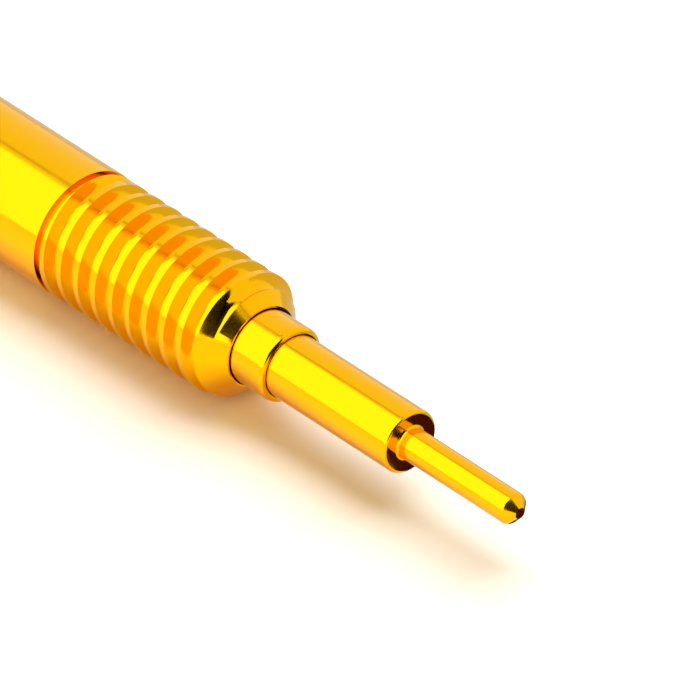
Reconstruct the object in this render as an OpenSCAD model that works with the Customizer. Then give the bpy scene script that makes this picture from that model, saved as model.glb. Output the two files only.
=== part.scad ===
// Screw-in spring contact probe with a stepped plunger.
// Millimetres. +X runs along the probe towards the contact tip, +Z is up.
// The origin is on the axis, in the plane of the shoulder where the smooth
// barrel ends and the thread starts: the probe stops there against its plate.

/* [Threaded body] */
// Diameter of the smooth barrel behind the thread
body_d = 2.43; // [2.2:0.01:3]
// Length of the smooth barrel behind the shoulder
body_len = 12; // [9:0.5:20]
// Diameter over the thread crests
thread_d = 2.4; // [2.2:0.01:2.9]
// Pitch of the right-hand thread
thread_pitch = 0.45; // [0.4:0.01:0.5]
// Depth of the thread groove
thread_depth = 0.236; // [0.15:0.002:0.25]
// Distance from the shoulder to the front face of the nose
thread_len = 4.6; // [3:0.1:7]
// Width of the relief between the shoulder and the first thread
relief_w = 0.14; // [0.1:0.01:0.3]
// Depth of the relief below the crests
relief_depth = 0.13; // [0.05:0.01:0.2]
// Width of the flat ring on the nose round the bore
nose_ring_w = 0.03; // [0.02:0.01:0.1]
// Chamfer on the rear end of the barrel
rear_chamfer = 0.15; // [0.05:0.05:0.3]

/* [Inner tube] */
// Outer diameter of the drawn tube that guides the plunger
tube_d = 1.44; // [1.4:0.01:1.5]
// Wall thickness of the tube
tube_wall = 0.07; // [0.06:0.01:0.1]
// Length of tube standing out of the nose
tube_out = 0.8; // [0.4:0.05:1.5]
// Length of tube standing out of the rear of the barrel
tube_rear = 0.6; // [0.3:0.1:2]
// Thickness of the rolled-in lip at the mouth of the tube
lip_t = 0.12; // [0.1:0.01:0.2]
// Radius rolled onto the outer edge of the lip
lip_round = 0.1; // [0.05:0.01:0.1]

/* [Plunger] */
// Diameter of the plunger's shank
shank_d = 1.2; // [1:0.01:1.2]
// Length of shank standing out of the tube at rest
shank_out = 3.05; // [2.95:0.05:5]
// Rounding on the front edge of the shank
shank_round = 0.06; // [0.02:0.01:0.08]
// Diameter of the contact pin
pin_d = 0.6; // [0.4:0.05:0.65]
// Length of the contact pin, cone included
pin_len = 2.8; // [1.5:0.1:5]
// Radius of the fillet at the root of the contact pin
pin_fillet = 0.05; // [0.02:0.01:0.2]
// Diameter of the flat on the end of the contact pin
tip_flat_d = 0.22; // [0.1:0.02:0.3]
// Length of the cone on the end of the contact pin
tip_cone_len = 0.17; // [0.1:0.01:0.4]
// Length of the land that slides in the tube
land_len = 4; // [2:0.5:5]

/* [Spring] */
// Wire diameter of the plunger spring
spring_wire_d = 0.17; // [0.12:0.01:0.18]
// Number of working coils
spring_coils = 22; // [12:1:24]

/* [Rear terminal] */
// Length of the plug inside the rear of the tube
plug_len = 2.4; // [1:0.1:4]
// Thickness of the flange behind the tube
flange_t = 0.5; // [0.2:0.1:1]
// Diameter of the solder tail
tail_d = 0.8; // [0.5:0.05:1.2]
// Length of the solder tail behind the flange
tail_len = 4; // [2:0.5:8]
// Chamfer on the end of the solder tail
tail_chamfer = 0.15; // [0.05:0.05:0.2]
// Diameter of the spigots that centre the spring
spigot_d = 0.72; // [0.4:0.02:0.76]
// Length of the spigots that centre the spring
spigot_len = 0.6; // [0.3:0.1:1]

/* [Fits] */
// Radial gap between the tube and the bore of the body
bore_gap = 0.025; // [0.01:0.005:0.04]
// Radial gap between the plunger's land and the tube
land_gap = 0.012; // [0.01:0.001:0.03]
// Radial gap between the shank and the lip
lip_gap = 0.015; // [0.01:0.001:0.03]
// Radial gap between the terminal's plug and the tube
plug_gap = 0.01; // [0.01:0.001:0.02]
// Radial gap between the spring and the tube
spring_gap = 0.06; // [0.04:0.01:0.1]
// Gap between each end of the spring and the face that it pushes on
spring_end_gap = 0.02; // [0.01:0.01:0.05]

/* [Hidden] */
$fn = 96;

// How far a cut runs past the face that it opens
cut_over = 1;

gold = [0.93, 0.7, 0.16];
steel = [0.72, 0.72, 0.7];

// Stations along the axis, from the shoulder
nose_x = thread_len;
mouth_x = nose_x + tube_out;
shank_end_x = mouth_x + shank_out;
tip_x = shank_end_x + pin_len;
body_rear_x = -body_len;
tube_rear_x = body_rear_x - tube_rear;
land_front_x = mouth_x - lip_t;
land_rear_x = land_front_x - land_len;
plug_front_x = tube_rear_x + plug_len;

// Radii
body_r = body_d / 2;
crest_r = thread_d / 2;
root_r = crest_r - thread_depth;
relief_r = crest_r - relief_depth;
tube_r = tube_d / 2;
tube_bore_r = tube_r - tube_wall;
bore_r = tube_r + bore_gap;
nose_r = bore_r + nose_ring_w;
shank_r = shank_d / 2;
pin_r = pin_d / 2;
tip_flat_r = tip_flat_d / 2;
lip_r = shank_r + lip_gap;
land_r = tube_bore_r - land_gap;
plug_r = tube_bore_r - plug_gap;
spigot_r = spigot_d / 2;
tail_r = tail_d / 2;

// The nose is a 45 degree cone from the crests to its front ring
nose_cone_len = crest_r - nose_r;

// Thread groove: 60 degree V with a flat root, cut by a right-hand helix
flank_a = 30;
crest_land = thread_pitch / 4;
groove_half_w = (thread_pitch - crest_land) / 2;
root_half_w = groove_half_w - thread_depth * tan(flank_a);
// The cutter reaches past the crests, but its turns stay apart
cutter_over = 0.05;
cutter_half_w = groove_half_w + cutter_over * tan(flank_a);
// Steps of the helix in each turn
thread_steps = 24;
// Angle at which the groove's centre line would cross the shoulder plane
thread_start_a = 292;
// The groove comes up out of the bar in this part of a turn at the shoulder
run_out_a = 75;
groove_first_x = relief_w + groove_half_w / 2;
groove_last_x = nose_x + groove_half_w;
groove_first_a = thread_start_a + 360 * groove_first_x / thread_pitch;
groove_turns = (groove_last_x - groove_first_x) / thread_pitch;
groove_rings = ceil(groove_turns * thread_steps);

// Spring: a helix of round wire with a closed coil at each end
spring_r = tube_bore_r - spring_gap - spring_wire_d / 2;
spring_sides = 6;
spring_steps = 12;
spring_dead_coils = 1.5;
spring_front_x = land_rear_x - spring_end_gap - spring_wire_d / 2;
spring_rear_x = plug_front_x + spring_end_gap + spring_wire_d / 2;
spring_dead_pitch = spring_wire_d * 1.12;
spring_dead_len = spring_dead_coils * spring_dead_pitch;
spring_live_len = spring_front_x - spring_rear_x - 2 * spring_dead_len;
spring_turns = spring_coils + 2 * spring_dead_coils;
spring_rings = spring_turns * spring_steps;

// Turns a shape drawn along +Z so that it lies along +X
module along_x() {
  rotate([0, 90, 0]) children();
}

// A solid of revolution from an outline of [radius, station] points
module turned(outline) {
  rotate_extrude() polygon(outline);
}

// A straight cylinder between two stations
module rod(r, from_x, to_x) {
  translate([0, 0, from_x]) cylinder(r = r, h = to_x - from_x);
}

// Faces of a tube swept through rings of n points each, both ends closed
function side_faces(rings, n) = [
  for (i = [0 : rings - 2], j = [0 : n - 1])
    let (a = i * n + j, b = i * n + (j + 1) % n)
      each [[a, a + n, b], [b, a + n, b + n]]
];
function cap_faces(rings, n) = [
  [for (j = [0 : n - 1]) j],
  [for (j = [n - 1 : -1 : 0]) (rings - 1) * n + j]
];

// How far the cutter is lifted out of the bar at a given angle past its start
function cutter_lift(a) = a < run_out_a ? (thread_depth + cutter_over) * (1 - a / run_out_a) : 0;

// One ring of the thread cutter
function groove_ring(i) =
  let (
    a = i * 360 / thread_steps,
    x = groove_first_x + thread_pitch * a / 360,
    lift = cutter_lift(a),
    outline = [
      [root_r, -root_half_w],
      [root_r, root_half_w],
      [crest_r + cutter_over, cutter_half_w],
      [crest_r + cutter_over, -cutter_half_w]
    ]
  )
  [for (p = outline) [
    (p[0] + lift) * cos(groove_first_a + a),
    (p[0] + lift) * sin(groove_first_a + a),
    x + p[1]
  ]];

module thread_cutter() {
  rings = groove_rings + 1;
  polyhedron(
    points = [for (i = [0 : groove_rings]) each groove_ring(i)],
    faces = concat(side_faces(rings, 4), cap_faces(rings, 4)),
    convexity = 12
  );
}

// Station of the spring's wire after a number of turns from its rear end
function spring_x(t) =
  t < spring_dead_coils ? spring_rear_x + t * spring_dead_pitch :
  t > spring_turns - spring_dead_coils ? spring_front_x - (spring_turns - t) * spring_dead_pitch :
  spring_rear_x + spring_dead_len + (t - spring_dead_coils) * spring_live_len / spring_coils;

// One ring round the spring's wire
function wire_ring(i) =
  let (a = i * 360 / spring_steps, x = spring_x(i / spring_steps))
  [for (j = [0 : spring_sides - 1])
    let (
      b = j * 360 / spring_sides,
      r = spring_r + spring_wire_d / 2 * cos(b)
    )
    [r * cos(a), r * sin(a), x + spring_wire_d / 2 * sin(b)]
  ];

// Turned body: smooth barrel, thread and coned nose, bored right through
module threaded_body() {
  color(gold) along_x() difference() {
    turned([
      [0, body_rear_x],
      [body_r - rear_chamfer, body_rear_x],
      [body_r, body_rear_x + rear_chamfer],
      [body_r, 0],
      [relief_r, 0],
      [relief_r, relief_w],
      [crest_r, relief_w],
      [crest_r, nose_x - nose_cone_len],
      [nose_r, nose_x],
      [0, nose_x]
    ]);
    rod(bore_r, body_rear_x - cut_over, nose_x + cut_over);
    thread_cutter();
  }
}

// Half section of the tube, with the outer edge of its mouth rounded over
module tube_section() {
  difference() {
    union() {
      translate([0, tube_rear_x]) square([tube_r, mouth_x - lip_round - tube_rear_x]);
      translate([0, tube_rear_x]) square([tube_r - lip_round, mouth_x - tube_rear_x]);
      translate([tube_r - lip_round, mouth_x - lip_round]) circle(r = lip_round);
    }
    translate([0, tube_rear_x - cut_over]) square([tube_bore_r, mouth_x - lip_t - tube_rear_x + cut_over]);
    translate([0, tube_rear_x]) square([lip_r, mouth_x - tube_rear_x + cut_over]);
  }
}

// Drawn tube with its mouth rolled in to keep the plunger
module inner_tube() {
  color(gold) along_x() rotate_extrude() tube_section();
}

// Half section of the plunger's front, with its edge rounding and its root fillet
module plunger_front() {
  difference() {
    union() {
      translate([0, land_front_x]) square([shank_r, shank_end_x - shank_round - land_front_x]);
      translate([0, land_front_x]) square([shank_r - shank_round, shank_end_x - land_front_x]);
      translate([shank_r - shank_round, shank_end_x - shank_round]) circle(r = shank_round);
      translate([0, shank_end_x]) square([pin_r + pin_fillet, pin_fillet]);
    }
    translate([pin_r + pin_fillet, shank_end_x + pin_fillet]) circle(r = pin_fillet);
  }
}

// Stepped plunger: spring spigot, sliding land, shank and contact pin in one piece
module plunger() {
  color(gold) along_x() rotate_extrude() {
    translate([0, land_rear_x - spigot_len]) square([spigot_r, spigot_len]);
    translate([0, land_rear_x]) square([land_r, land_len]);
    plunger_front();
    polygon([
      [0, shank_end_x],
      [pin_r, shank_end_x],
      [pin_r, tip_x - tip_cone_len],
      [tip_flat_r, tip_x],
      [0, tip_x]
    ]);
  }
}

// Compression spring between the plunger and the rear terminal
module plunger_spring() {
  rings = spring_rings + 1;
  color(steel) along_x() polyhedron(
    points = [for (i = [0 : spring_rings]) each wire_ring(i)],
    faces = concat(side_faces(rings, spring_sides), cap_faces(rings, spring_sides)),
    convexity = 30
  );
}

// Turned terminal: spring spigot, plug, flange and solder tail in one piece
module rear_terminal() {
  color(gold) along_x() turned([
    [0, plug_front_x + spigot_len],
    [spigot_r, plug_front_x + spigot_len],
    [spigot_r, plug_front_x],
    [plug_r, plug_front_x],
    [plug_r, tube_rear_x],
    [tube_r, tube_rear_x],
    [tube_r, tube_rear_x - flange_t],
    [tail_r, tube_rear_x - flange_t],
    [tail_r, tube_rear_x - flange_t - tail_len + tail_chamfer],
    [tail_r - tail_chamfer, tube_rear_x - flange_t - tail_len],
    [0, tube_rear_x - flange_t - tail_len]
  ]);
}

threaded_body();
inner_tube();
plunger();
plunger_spring();
rear_terminal();
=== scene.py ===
"""A gold-plated screw-in spring contact probe, dressed for a studio view.

Every piece is built in metres along +X, with the origin in the plane of the
shoulder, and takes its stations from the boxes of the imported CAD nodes.
"""

import math

import bmesh
import bpy
from mathutils import Matrix, Vector


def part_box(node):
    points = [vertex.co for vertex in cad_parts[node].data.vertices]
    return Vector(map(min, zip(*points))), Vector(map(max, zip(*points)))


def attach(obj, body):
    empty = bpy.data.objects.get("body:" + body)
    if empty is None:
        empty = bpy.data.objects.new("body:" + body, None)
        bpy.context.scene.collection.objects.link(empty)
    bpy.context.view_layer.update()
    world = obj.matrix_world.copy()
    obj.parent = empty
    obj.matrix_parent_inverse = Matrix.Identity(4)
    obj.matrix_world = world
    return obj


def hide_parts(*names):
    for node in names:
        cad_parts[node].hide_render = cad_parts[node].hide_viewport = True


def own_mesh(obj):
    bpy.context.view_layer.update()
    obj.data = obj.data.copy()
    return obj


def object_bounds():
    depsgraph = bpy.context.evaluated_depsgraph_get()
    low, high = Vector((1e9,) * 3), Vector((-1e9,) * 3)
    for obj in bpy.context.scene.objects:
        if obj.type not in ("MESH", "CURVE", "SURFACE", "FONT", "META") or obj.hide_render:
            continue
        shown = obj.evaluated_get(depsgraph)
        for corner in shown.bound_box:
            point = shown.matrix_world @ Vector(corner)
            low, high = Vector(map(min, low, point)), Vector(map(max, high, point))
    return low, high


bl_info = {
    "name": "Spring Contact Probe",
    "version": (1, 0, 0),
    "blender": (4, 5, 0),
    "location": "View3D > Sidebar > Contact Probe",
    "description": "Dresses a screw-in spring contact probe and its studio",
    "category": "Object",
}

MM = 0.001
AROUND = 192
SHARP_ANGLE = math.radians(28)
MERGE_DISTANCE = 0.0004 * MM

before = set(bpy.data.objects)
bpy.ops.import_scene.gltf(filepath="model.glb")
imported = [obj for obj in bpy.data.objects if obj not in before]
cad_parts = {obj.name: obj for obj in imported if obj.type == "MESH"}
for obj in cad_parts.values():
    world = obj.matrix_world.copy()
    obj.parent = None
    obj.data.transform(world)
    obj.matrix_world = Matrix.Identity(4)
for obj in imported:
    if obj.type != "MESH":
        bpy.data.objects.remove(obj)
cad_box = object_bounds()


def end_to_end(node):
    """The stations of a node's rear and front end, in metres."""
    low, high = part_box(node)
    return low.x, high.x


BODY_REAR, NOSE = end_to_end("threaded_body")
TUBE_REAR, MOUTH = end_to_end("inner_tube")
PLUNGER_REAR, TIP = end_to_end("plunger")
SPRING_REAR, SPRING_FRONT = end_to_end("plunger_spring")
TAIL_END, TERMINAL_FRONT = end_to_end("rear_terminal")
BODY_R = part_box("threaded_body")[1].y
TUBE_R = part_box("inner_tube")[1].y
FLOOR_Z = cad_box[0][2]

# Sizes of the turned pieces that don't show in the nodes' boxes
BORE_GAP = 0.025 * MM
NOSE_RING_W = 0.03 * MM
REAR_CHAMFER = 0.15 * MM
LIP_T = 0.12 * MM
PIN_LEN = 2.8 * MM
SPIGOT_LEN = 0.6 * MM
SPIGOT_R = 0.36 * MM
FLANGE_T = 0.5 * MM


# ---------------------------------------------------------------- sizes


class ProbeSizes(bpy.types.PropertyGroup):
    """Sizes of the turned pieces that a user would change."""

    crest_r: bpy.props.FloatProperty(
        name="Crest radius",
        description="Radius of the thread's crests",
        default=1.2 * MM,
        unit="LENGTH",
    )
    thread_pitch: bpy.props.FloatProperty(
        name="Thread pitch",
        description="Advance of the thread in one turn",
        default=0.45 * MM,
        unit="LENGTH",
    )
    thread_depth: bpy.props.FloatProperty(
        name="Thread depth",
        description="Depth of the groove below the crests",
        default=0.236 * MM,
        unit="LENGTH",
    )
    relief_w: bpy.props.FloatProperty(
        name="Relief width",
        description="Width of the relief at the shoulder",
        default=0.14 * MM,
        unit="LENGTH",
    )
    relief_depth: bpy.props.FloatProperty(
        name="Relief depth",
        description="Depth of the relief below the crests",
        default=0.13 * MM,
        unit="LENGTH",
    )
    thread_start: bpy.props.FloatProperty(
        name="Thread start",
        description="Angle at which the groove would cross the shoulder",
        default=math.radians(292),
        subtype="ANGLE",
    )
    edge_round: bpy.props.FloatProperty(
        name="Edge rounding",
        description="Width of the rounding on turned edges",
        default=0.012 * MM,
        unit="LENGTH",
    )


class ProbeFinishes(bpy.types.PropertyGroup):
    """Colours of the finishes, as sRGB hex values."""

    plating: bpy.props.StringProperty(
        name="Gold plating",
        description="Colour of the gold plating on the turned pieces",
        default="#FFC40E",
    )
    plating_deep: bpy.props.StringProperty(
        name="Gold in the turning marks",
        description="Deeper gold between the turning marks",
        default="#FAB002",
    )
    spring_wire: bpy.props.StringProperty(
        name="Spring wire", description="Colour of the drawn spring wire", default="#B9B6AE"
    )
    floor: bpy.props.StringProperty(
        name="Floor", description="Colour of the studio floor", default="#FFFFFF"
    )


# ---------------------------------------------------------------- helpers


def linear(hex_colour):
    """An sRGB hex colour as the linear RGBA that shaders take."""
    channels = [int(hex_colour[i : i + 2], 16) / 255 for i in (1, 3, 5)]
    return [c / 12.92 if c <= 0.04045 else ((c + 0.055) / 1.055) ** 2.4 for c in channels] + [1.0]


def add_node(material, kind, settings=None, links=None):
    """Adds a node, sets its attributes or inputs, and links its inputs from (node, output) pairs."""
    tree = material.node_tree
    node = tree.nodes.new(kind)
    for key, value in (settings or {}).items():
        if isinstance(key, str) and hasattr(node, key):
            setattr(node, key, value)
        else:
            node.inputs[key].default_value = value
    for key, (source, output) in (links or {}).items():
        tree.links.new(source.outputs[output], node.inputs[key])
    return node


def new_material(name):
    """An empty node material and its output node."""
    material = bpy.data.materials.new(name)
    material.use_nodes = True
    material.node_tree.nodes.clear()
    return material, add_node(material, "ShaderNodeOutputMaterial")


def object_from(bm, name, material):
    """Ends a bmesh: faces outwards, smooth with sharp edges, and one material."""
    bmesh.ops.recalc_face_normals(bm, faces=bm.faces[:])
    for face in bm.faces:
        face.smooth = True
    for edge in bm.edges:
        edge.smooth = len(edge.link_faces) == 2 and edge.calc_face_angle(0) < SHARP_ANGLE
    mesh = bpy.data.meshes.new(name)
    bm.to_mesh(mesh)
    bm.free()
    mesh.materials.append(material)
    piece = bpy.data.objects.new(name, mesh)
    bpy.context.scene.collection.objects.link(piece)
    return piece


def chain(bm, outline, closed=True):
    """A wire of vertices and edges through (station, radius) points in the XZ plane."""
    verts = [bm.verts.new((x, 0, r)) for x, r in outline]
    pairs = list(zip(verts, verts[1:]))
    if closed:
        pairs.append((verts[-1], verts[0]))
    for a, b in pairs:
        bm.edges.new((a, b))


def turn(bm, outline, closed=True):
    """Spins an outline of (station, radius) points a full turn about the X axis."""
    chain(bm, outline, closed)
    bmesh.ops.spin(
        bm,
        geom=bm.verts[:] + bm.edges[:],
        cent=(0, 0, 0),
        axis=(1, 0, 0),
        angle=math.tau,
        steps=AROUND,
        use_merge=True,
    )
    bmesh.ops.remove_doubles(bm, verts=bm.verts[:], dist=MERGE_DISTANCE)


def rounded(x, r, radius, start, end, steps=6):
    """Points of an arc about (x, r), from one angle to another, in degrees."""
    return [
        (
            x + radius * math.cos(math.radians(start + (end - start) * i / steps)),
            r + radius * math.sin(math.radians(start + (end - start) * i / steps)),
        )
        for i in range(steps + 1)
    ]


# ---------------------------------------------------------------- finishes


def gold_plating(name, mark_spacing, mark_depth, roughness, haze=0.04):
    """Gold plating over turned brass.

    The plating is thin and bright, so it keeps the fine rings that the lathe
    tool left round the axis. They show as faint bands of deeper gold and make
    highlights run a little along the piece.
    """
    finishes = bpy.context.scene.probe_finishes
    material, output = new_material(name)
    place = add_node(material, "ShaderNodeTexCoord")
    # Rings follow the station along X alone, one band for each mark_spacing.
    rings = add_node(
        material,
        "ShaderNodeMapping",
        {"Scale": (1 / mark_spacing, 0.0, 0.0)},
        {"Vector": (place, "Object")},
    )
    marks = add_node(
        material,
        "ShaderNodeTexNoise",
        {"noise_dimensions": "3D", "Scale": 1.0, "Detail": 3.0, "Roughness": 0.6},
        {"Vector": (rings, "Vector")},
    )
    # Broad, faint haze from handling and from uneven plating, 0.6 mm across.
    haze_place = add_node(
        material, "ShaderNodeMapping", {"Scale": (1 / (0.6 * MM),) * 3}, {"Vector": (place, "Object")}
    )
    clouds = add_node(
        material,
        "ShaderNodeTexNoise",
        {"Scale": 1.0, "Detail": 2.0},
        {"Vector": (haze_place, "Vector")},
    )
    colour = add_node(
        material,
        "ShaderNodeMix",
        {"data_type": "RGBA", 6: linear(finishes.plating), 7: linear(finishes.plating_deep)},
        {0: (marks, "Fac")},
    )
    rough = add_node(
        material,
        "ShaderNodeMapRange",
        {
            "From Min": 0.3,
            "From Max": 0.7,
            "To Min": max(roughness - haze, 0.02),
            "To Max": roughness + haze,
        },
        {"Value": (clouds, "Fac")},
    )
    bump = add_node(
        material,
        "ShaderNodeBump",
        {"Strength": 0.35, "Distance": mark_depth},
        {"Height": (marks, "Fac")},
    )
    shader = add_node(
        material,
        "ShaderNodeBsdfPrincipled",
        {"Metallic": 1.0},
        {"Base Color": (colour, 2), "Roughness": (rough, "Result"), "Normal": (bump, "Normal")},
    )
    material.node_tree.links.new(shader.outputs[0], output.inputs[0])
    return material


def drawn_wire(name):
    """Drawn spring steel: grey, with fine patches of rougher and smoother metal and a soft sheen."""
    material, output = new_material(name)
    place = add_node(material, "ShaderNodeTexCoord")
    grain = add_node(
        material, "ShaderNodeMapping", {"Scale": (1 / (0.03 * MM),) * 3}, {"Vector": (place, "Object")}
    )
    scratches = add_node(
        material, "ShaderNodeTexNoise", {"Scale": 1.0, "Detail": 3.0}, {"Vector": (grain, "Vector")}
    )
    rough = add_node(
        material, "ShaderNodeMapRange", {"To Min": 0.22, "To Max": 0.42}, {"Value": (scratches, "Fac")}
    )
    wire = linear(bpy.context.scene.probe_finishes.spring_wire)
    shader = add_node(
        material,
        "ShaderNodeBsdfPrincipled",
        {"Metallic": 1.0, "Base Color": wire},
        {"Roughness": (rough, "Result")},
    )
    material.node_tree.links.new(shader.outputs[0], output.inputs[0])
    return material


# ---------------------------------------------------------------- pieces


class PROBE_OT_body(bpy.types.Operator):
    """Turned body: smooth barrel, shoulder, relief, thread and coned nose"""

    bl_idname = "probe.body"
    bl_label = "Threaded body"

    def barrel(self, bm, sizes, bore_r):
        """The bar before its thread is cut: barrel, shoulder, relief, crests and nose."""
        soft = sizes.edge_round
        relief_r = sizes.crest_r - sizes.relief_depth
        nose_r = bore_r + NOSE_RING_W
        cone_x = NOSE - (sizes.crest_r - nose_r)
        outline = [(BODY_REAR, bore_r), (BODY_REAR, BODY_R - REAR_CHAMFER)]
        outline += [(BODY_REAR + REAR_CHAMFER, BODY_R)]
        outline += rounded(-soft, BODY_R - soft, soft, 90, 0)
        outline += [(0, relief_r), (sizes.relief_w, relief_r), (sizes.relief_w, sizes.crest_r)]
        outline += [(cone_x, sizes.crest_r), (NOSE, nose_r), (NOSE, bore_r)]
        turn(bm, outline)

    def cutter(self, bm, sizes):
        """The thread's groove as a solid swept along the helix, lifted out at the shoulder."""
        pitch, depth, over = sizes.thread_pitch, sizes.thread_depth, 0.05 * MM
        half_w = pitch * 3 / 8
        root_r = sizes.crest_r - depth
        # The groove's floor is a smooth hollow that steepens towards the crests.
        reach = half_w * math.sqrt((depth + over) / depth)
        hollow = [reach * i / 7 for i in range(-7, 8)]
        first_x = sizes.relief_w + half_w / 2
        last_x = NOSE + half_w
        steps = AROUND // 2
        turns = (last_x - first_x) / pitch
        count = math.ceil(turns * steps)
        run_out = math.radians(75)
        start = sizes.thread_start + math.tau * first_x / pitch
        ring = [bm.verts.new((x, 0, root_r + depth * (x / half_w) ** 2)) for x in hollow]
        bm.faces.new(ring)
        # The section is drawn above the axis and turned to where the helix starts.
        bmesh.ops.translate(bm, verts=ring, vec=(first_x, 0, 0))
        turn_to_start = Matrix.Rotation(math.pi + start, 3, "X")
        bmesh.ops.rotate(bm, verts=ring, cent=(0, 0, 0), matrix=turn_to_start)
        bmesh.ops.spin(
            bm,
            geom=bm.verts[:] + bm.edges[:] + bm.faces[:],
            cent=(0, 0, 0),
            axis=(1, 0, 0),
            dvec=(pitch / steps, 0, 0),
            angle=math.tau * count / steps,
            steps=count,
            use_merge=False,
        )
        for vert in bm.verts:
            turned = (vert.co.x - first_x) / pitch * math.tau
            if turned < run_out + math.tau:
                radial = Vector((0, vert.co.y, vert.co.z))
                angle = self.angle_past(vert.co, start, turned)
                lift = (depth + over) * max(0.0, 1 - angle / run_out)
                vert.co += radial.normalized() * lift
        bmesh.ops.recalc_face_normals(bm, faces=bm.faces[:])

    @staticmethod
    def angle_past(point, start, turned):
        """How far round the helix a vertex of the cutter lies from the cutter's start."""
        around = math.atan2(-point.y, point.z) - (math.pi + start)
        whole = round((turned - around) / math.tau)
        return around + whole * math.tau

    def execute(self, context):
        sizes = context.scene.probe_sizes
        bore_r = TUBE_R + BORE_GAP
        bar = bmesh.new()
        self.barrel(bar, sizes, bore_r)
        gold = gold_plating("gold plating over turned brass", 0.018 * MM, 0.0012 * MM, 0.13)
        body = object_from(bar, "body_turned", gold)
        groove = bmesh.new()
        self.cutter(groove, sizes)
        cutter = object_from(groove, "thread_groove_cutter", gold)
        cut = body.modifiers.new("Thread", "BOOLEAN")
        cut.operation, cut.solver, cut.object = "DIFFERENCE", "EXACT", cutter
        made = bpy.data.meshes.new_from_object(body.evaluated_get(context.evaluated_depsgraph_get()))
        body.modifiers.clear()
        bpy.data.objects.remove(cutter)
        # The uncut bar has about 2,500 faces and the groove brings several thousand more.
        if len(made.polygons) < 4000:
            raise RuntimeError("the thread wasn't cut")
        finished = bmesh.new()
        finished.from_mesh(made)
        bmesh.ops.remove_doubles(finished, verts=finished.verts[:], dist=MERGE_DISTANCE)
        bpy.data.objects.remove(body)
        body = object_from(finished, "turned_body", gold)
        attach(body, "fixed_body")
        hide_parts("threaded_body")
        return {"FINISHED"}


class PROBE_OT_tube(bpy.types.Operator):
    """Drawn tube with its mouth rolled in over the plunger's land"""

    bl_idname = "probe.tube"
    bl_label = "Inner tube"

    def execute(self, context):
        wall, lip, lip_bore = 0.07 * MM, 0.1 * MM, 0.615 * MM
        bore_r = TUBE_R - wall
        outline = [(TUBE_REAR, bore_r), (TUBE_REAR, TUBE_R)]
        outline += rounded(MOUTH - lip, TUBE_R - lip, lip, 90, 0, 12)
        outline += [(MOUTH, lip_bore), (MOUTH - LIP_T, lip_bore), (MOUTH - LIP_T, bore_r)]
        bm = bmesh.new()
        turn(bm, outline)
        gold = gold_plating("gold plating over drawn tube", 0.03 * MM, 0.0006 * MM, 0.13)
        tube = object_from(bm, "drawn_tube", gold)
        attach(tube, "fixed_body")
        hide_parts("inner_tube")
        return {"FINISHED"}


class PROBE_OT_plunger(bpy.types.Operator):
    """Stepped plunger: spigot, land, shank and contact pin turned in one piece"""

    bl_idname = "probe.plunger"
    bl_label = "Plunger"

    def execute(self, context):
        shank_r, pin_r, tip_r, cone = 0.6 * MM, 0.3 * MM, 0.11 * MM, 0.17 * MM
        land_r, land_len = 0.638 * MM, 4 * MM
        edge, fillet = 0.06 * MM, 0.05 * MM
        land_front = MOUTH - LIP_T
        land_rear = land_front - land_len
        shank_end = TIP - PIN_LEN
        soft = context.scene.probe_sizes.edge_round
        outline = [(PLUNGER_REAR, 0), (PLUNGER_REAR, SPIGOT_R)]
        outline += [(land_rear, SPIGOT_R), (land_rear, land_r)]
        outline += [(land_front, land_r), (land_front, shank_r)]
        outline += rounded(shank_end - edge, shank_r - edge, edge, 90, 0, 8)
        # The root fillet turns from the shank's face into the contact pin.
        outline += rounded(shank_end + fillet, pin_r + fillet, fillet, 180, 270, 12)
        # The cone's shoulder is polished round, and its flat end keeps a small soft edge.
        slope = math.degrees(math.atan2(cone, pin_r - tip_r))
        # The rounding starts crown_lead degrees before the cone's own corner would.
        crown, crown_lead = 0.1 * MM, 22
        back = crown * math.tan(math.radians((90 - slope) / 2 + crown_lead))
        outline += rounded(TIP - cone - back / 2, pin_r - crown, crown, 90, 90 - slope, 8)
        outline += [(TIP - soft, tip_r + soft * 0.6), (TIP, tip_r - soft * 0.4), (TIP, 0)]
        bm = bmesh.new()
        turn(bm, outline, closed=False)
        gold = gold_plating("gold plating over polished plunger", 0.02 * MM, 0.0006 * MM, 0.12)
        plunger = object_from(bm, "stepped_plunger", gold)
        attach(plunger, "sliding_plunger")
        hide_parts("plunger")
        return {"FINISHED"}


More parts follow.
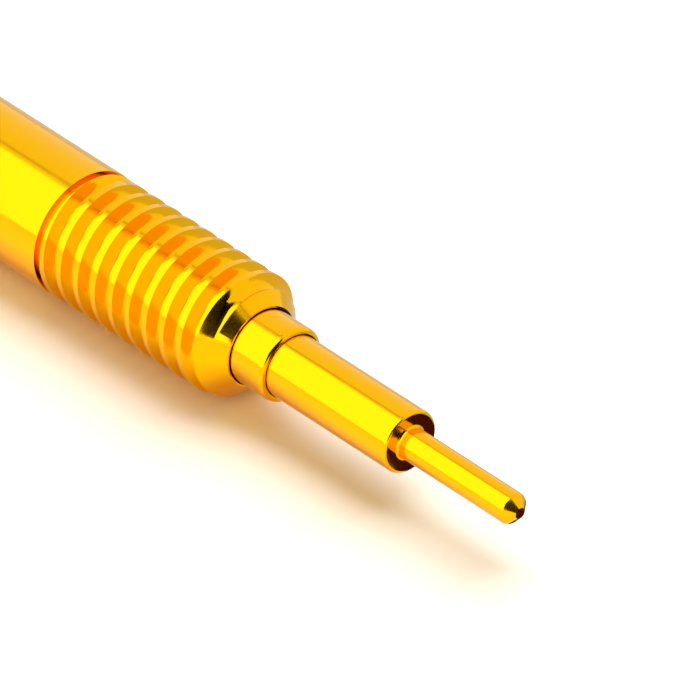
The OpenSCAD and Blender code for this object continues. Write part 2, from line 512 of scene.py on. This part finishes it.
class PROBE_OT_spring(bpy.types.Operator):
    """Compression spring of round wire with closed coils at both ends"""

    bl_idname = "probe.spring"
    bl_label = "Plunger spring"

    def execute(self, context):
        wire_r, coil_r, coils, dead = 0.085 * MM, 0.505 * MM, 22, 1.5
        sides, steps = 10, 32
        low_x, high_x = SPRING_REAR + wire_r, SPRING_FRONT - wire_r
        dead_pitch = 2 * wire_r * 1.12
        dead_len = dead * dead_pitch
        live_pitch = (high_x - low_x - 2 * dead_len) / coils
        turns = coils + 2 * dead
        bm = bmesh.new()
        ring = bmesh.ops.create_circle(bm, cap_ends=True, segments=sides, radius=wire_r)["verts"]
        # The wire's section stands in the XZ plane, at the coil's radius.
        bmesh.ops.rotate(bm, verts=ring, cent=(0, 0, 0), matrix=Matrix.Rotation(math.pi / 2, 3, "X"))
        bmesh.ops.translate(bm, verts=ring, vec=(0, 0, coil_r))
        bmesh.ops.spin(
            bm,
            geom=bm.verts[:] + bm.edges[:] + bm.faces[:],
            cent=(0, 0, 0),
            axis=(1, 0, 0),
            dvec=(0, 0, 0),
            angle=math.tau * turns,
            steps=int(turns * steps),
            use_merge=False,
        )
        # Vertices come in the order of the wire's sections, so each section moves to its station.
        bm.verts.ensure_lookup_table()
        for index, vert in enumerate(bm.verts):
            at = index // sides / steps
            if at < dead:
                station = low_x + at * dead_pitch
            elif at > turns - dead:
                station = high_x - (turns - at) * dead_pitch
            else:
                station = low_x + dead_len + (at - dead) * live_pitch
            vert.co.x += station
        spring = object_from(bm, "spring_wire", drawn_wire("drawn spring steel wire"))
        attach(spring, "fixed_body")
        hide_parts("plunger_spring")
        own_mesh(spring)
        return {"FINISHED"}


class PROBE_OT_terminal(bpy.types.Operator):
    """Rear terminal: spigot, plug, flange and solder tail turned in one piece"""

    bl_idname = "probe.terminal"
    bl_label = "Rear terminal"

    def execute(self, context):
        plug_r, tail_r, chamfer = 0.64 * MM, 0.4 * MM, 0.15 * MM
        flange_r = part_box("rear_terminal")[1].y
        plug_front = TERMINAL_FRONT - SPIGOT_LEN
        flange_rear = TUBE_REAR - FLANGE_T
        soft = context.scene.probe_sizes.edge_round
        outline = [(TAIL_END, 0), (TAIL_END, tail_r - chamfer), (TAIL_END + chamfer, tail_r)]
        outline += [(flange_rear, tail_r)]
        outline += rounded(flange_rear + soft, flange_r - soft, soft, 180, 90)
        outline += [(TUBE_REAR, flange_r), (TUBE_REAR, plug_r), (plug_front, plug_r)]
        outline += [(plug_front, SPIGOT_R), (TERMINAL_FRONT, SPIGOT_R), (TERMINAL_FRONT, 0)]
        bm = bmesh.new()
        turn(bm, outline, closed=False)
        gold = gold_plating("gold plating over satin turned terminal", 0.03 * MM, 0.0012 * MM, 0.16)
        terminal = object_from(bm, "turned_terminal", gold)
        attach(terminal, "fixed_body")
        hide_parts("rear_terminal")
        return {"FINISHED"}


# ---------------------------------------------------------------- stage


class PROBE_OT_stage(bpy.types.Operator):
    """White floor, cards that paint the reflections of a light tent, lamps and camera"""

    bl_idname = "probe.stage"
    bl_label = "Studio stage"

    def floor(self):
        """White floor that shows plain white and still keeps the shadow."""
        material, output = new_material("matt white studio floor")
        white = linear(bpy.context.scene.probe_finishes.floor)
        paper = add_node(material, "ShaderNodeBsdfDiffuse", {"Color": white})
        material.node_tree.links.new(paper.outputs[0], output.inputs[0])
        bm = bmesh.new()
        bmesh.ops.create_grid(bm, x_segments=1, y_segments=1, size=0.4)
        bmesh.ops.translate(bm, verts=bm.verts[:], vec=(0, 0, FLOOR_Z))
        floor = object_from(bm, "studio_floor", material)

    def card(self, name, colour, strength, size, centre, facing):
        """A flat glowing or black card that only shows in the metal's reflections, as a painted
        reflection; it lights nothing and casts no shadow.
        """
        material, output = new_material(name)
        glow = add_node(material, "ShaderNodeEmission", {"Color": linear(colour), "Strength": strength})
        material.node_tree.links.new(glow.outputs[0], output.inputs[0])
        bm = bmesh.new()
        bmesh.ops.create_grid(bm, x_segments=1, y_segments=1, size=0.5)
        bmesh.ops.scale(bm, vec=(size[0], size[1], 1), verts=bm.verts[:])
        turned = Vector(facing).to_track_quat("Z", "Y").to_matrix().to_4x4()
        bmesh.ops.transform(bm, matrix=Matrix.Translation(centre) @ turned, verts=bm.verts[:])
        card = object_from(bm, name.replace(" ", "_"), material)
        card.visible_camera = False
        card.visible_diffuse = False
        card.visible_shadow = False
        card.visible_transmission = False

    def world(self):
        """A white room to camera, reflections and glass, and a softer light on the rest."""
        world = bpy.data.worlds.new("white studio")
        world.use_nodes = True
        world.node_tree.nodes.clear()
        path = add_node(world, "ShaderNodeLightPath")
        seen = add_node(
            world,
            "ShaderNodeMath",
            {"operation": "MAXIMUM"},
            {0: (path, "Is Camera Ray"), 1: (path, "Is Glossy Ray")},
        )
        seen = add_node(
            world,
            "ShaderNodeMath",
            {"operation": "MAXIMUM"},
            {0: (seen, 0), 1: (path, "Is Transmission Ray")},
        )
        room = add_node(world, "ShaderNodeMapRange", {"To Min": 0.62, "To Max": 1.0}, {"Value": (seen, 0)})
        # The light that fills the shadows has the warmth of the gold that it comes off.
        tint = add_node(
            world,
            "ShaderNodeMix",
            {"data_type": "RGBA", 6: linear("#FFE9C0"), 7: linear("#FFFFFF")},
            {0: (seen, 0)},
        )
        light = add_node(
            world, "ShaderNodeBackground", links={"Color": (tint, 2), "Strength": (room, "Result")}
        )
        output = add_node(world, "ShaderNodeOutputWorld")
        world.node_tree.links.new(light.outputs[0], output.inputs[0])
        bpy.context.scene.world = world

    def lamp(self, name, place, aim, size, watts):
        """A soft square lamp."""
        data = bpy.data.lights.new(name, "AREA")
        data.energy, data.size = watts, size
        lamp = bpy.data.objects.new(name, data)
        lamp.location = place
        lamp.rotation_euler = (Vector(aim) - Vector(place)).to_track_quat("-Z", "Y").to_euler()
        lamp.visible_glossy = False
        bpy.context.scene.collection.objects.link(lamp)

    def camera(self):
        """Long-lens camera above and in front, looking back along the probe."""
        data = bpy.data.cameras.new("studio_camera")
        camera = bpy.data.objects.new("studio_camera", data)
        right = Vector((0.6665, 0.7455, 0.0))
        up = Vector((-0.4276, 0.3823, 0.8192))
        back = Vector((0.6107, -0.5460, 0.5736))
        target = Vector((TIP - 4.165 * MM, -0.165 * MM, 1.296 * MM))
        distance, seen = 0.3, 11.99 * MM
        data.sensor_width = 36
        data.lens = 36 * distance / seen
        data.clip_start, data.clip_end = 0.01, 10
        turned = Matrix((right, up, back)).transposed().to_4x4()
        camera.matrix_world = Matrix.Translation(target + back.normalized() * distance) @ turned
        bpy.context.scene.collection.objects.link(camera)
        bpy.context.scene.camera = camera

    def execute(self, context):
        self.floor()
        self.world()
        # Painted reflections of a light tent: a bright card from the horizon to overhead, a dimmer strip,
        # and a black card in front.
        front = NOSE + 4 * MM
        # This glowing card paints the bright highlight band in the gold.
        self.card("painted highlight wall", "#FFFFFF", 1.9, (0.5, 0.2), (front - 0.03, -0.07, 0.07), (0, 1, -1))
        # This dimmer strip near overhead paints a darker line into the gold's reflections.
        self.card("painted darker reflection strip", "#FFFFFF", 0.6, (0.5, 0.01), (front - 0.03, 0.0215, 0.14), (0, 0, -1))
        # This black card in front paints dark patches into the reflections on the chamfers and cones.
        self.card("painted dark reflection in front", "#000000", 0.0, (0.063, 0.05), (front + 0.05, -0.017, 0.025), (-1, 0, 0))
        # On the floor, cards that show only in reflections: a dimmer one paints shade into the far side's
        # reflection, and a dark brown one paints the dark reflection that the end faces look down on.
        far_floor = (front - 0.03, 0.042, FLOOR_Z + 0.02 * MM)
        # This card paints shade into the far floor's reflection; the floor itself stays white.
        self.card("shaded far floor", "#FFFFFF", 0.72, (0.3, 0.08), far_floor, (0, 0, 1))
        painted_dark_centre = (TIP - 1.45 * MM, 1.475 * MM, FLOOR_Z + 0.05 * MM)
        # This dark brown card paints the dark reflection in the end faces of the shank and tip.
        self.card("painted dark end face reflection", "#3C1400", 1.0, (8.2 * MM, 2.45 * MM), painted_dark_centre, (0, 0, 1))
        self.lamp("key_lamp", (front - 0.02, 0.07, 0.17), (front, 0, 0), 0.18, 0.36)
        self.camera()
        scene = context.scene
        scene.view_settings.view_transform = "Standard"
        return {"FINISHED"}


class PROBE_PT_panel(bpy.types.Panel):
    """Lists the probe's sizes, its finishes and the steps that build it"""

    bl_label = "Contact Probe"
    bl_idname = "PROBE_PT_panel"
    bl_space_type = "VIEW_3D"
    bl_region_type = "UI"
    bl_category = "Contact Probe"

    def draw(self, context):
        layout = self.layout
        for group in (context.scene.probe_sizes, context.scene.probe_finishes):
            box = layout.box()
            for name in group.__annotations__:
                box.prop(group, name)
        for step in STEPS:
            layout.operator(step.bl_idname)


STEPS = (
    PROBE_OT_stage,
    PROBE_OT_body,
    PROBE_OT_tube,
    PROBE_OT_plunger,
    PROBE_OT_spring,
    PROBE_OT_terminal,
)
CLASSES = (ProbeSizes, ProbeFinishes) + STEPS + (PROBE_PT_panel,)


def register():
    """Registers the classes and hangs the sizes and finishes on the scene."""
    for item in CLASSES:
        bpy.utils.register_class(item)
    bpy.types.Scene.probe_sizes = bpy.props.PointerProperty(type=ProbeSizes)
    bpy.types.Scene.probe_finishes = bpy.props.PointerProperty(type=ProbeFinishes)


def unregister():
    """Takes the sizes, finishes and classes away again."""
    del bpy.types.Scene.probe_finishes
    del bpy.types.Scene.probe_sizes
    for item in reversed(CLASSES):
        bpy.utils.unregister_class(item)


def main():
    """Builds the pieces and the stage."""
    register()
    for step in STEPS:
        group, name = step.bl_idname.split(".")
        getattr(getattr(bpy.ops, group), name)()


if __name__ == "__main__":
    main()
